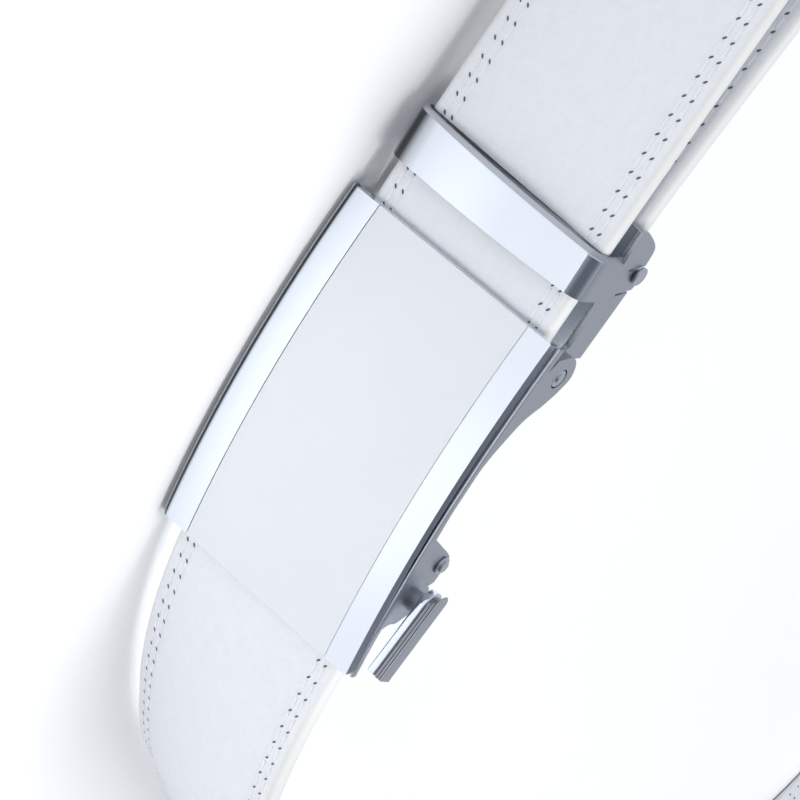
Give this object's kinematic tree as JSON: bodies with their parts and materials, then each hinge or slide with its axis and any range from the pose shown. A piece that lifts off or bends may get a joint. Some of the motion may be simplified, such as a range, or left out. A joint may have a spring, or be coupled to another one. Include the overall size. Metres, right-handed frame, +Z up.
{
  "type": "ratchet belt",
  "caption": "Leather waist belt fastened by a curved plate buckle with a toothed track, release lever, hinged strap clamp and keeper loop; it stands on its edge as a closed loop.",
  "frame": {"origin": "on the surface that the belt stands on, under the middle of its outline seen from above", "axes": "+Z up across the strap's width; -Y is the side of the waist loop that the buckle's face looks to; +Y runs to the far side of the loop; the free end points to -X"},
  "size_m": [0.355, 0.4206, 0.044],
  "materials": {
    "strap_leather": "smooth white, rows of stitches along both edges",
    "track_plastic": "moulded",
    "bright_chrome": "polished",
    "satin_inlay": "satin white",
    "frame_metal": "blasted zinc alloy"
  },
  "bodies": {
    "belt": {"strap": "strap_leather", "ratchet_track": "track_plastic", "face_plate": "bright_chrome", "face_inlay": "satin_inlay", "buckle_frame": "frame_metal", "clamp_body": "frame_metal", "clamp_pin": "bright_chrome", "hinge_rivet_upper": "bright_chrome", "hinge_rivet_lower": "bright_chrome", "pawl": "frame_metal", "pawl_pin": "bright_chrome"},
    "flap": {"clamp_flap": "frame_metal"},
    "lever": {"release_lever": "bright_chrome"}
  },
  "joints": [
    {"name": "flap_hinge", "type": "hinge", "parent": "belt", "child": "flap", "pos_m": [-0.0531, -0.19213, 0.0208], "axis": [0, 0, 1], "range_deg": [0, 75]},
    {"name": "lever_pivot", "type": "hinge", "parent": "belt", "child": "lever", "pos_m": [0.00435, -0.20186, 0.0426], "axis": [0, 0, 1], "range_deg": [0, 25], "stiffness_Nm_per_rad": 0.02}
  ]
}
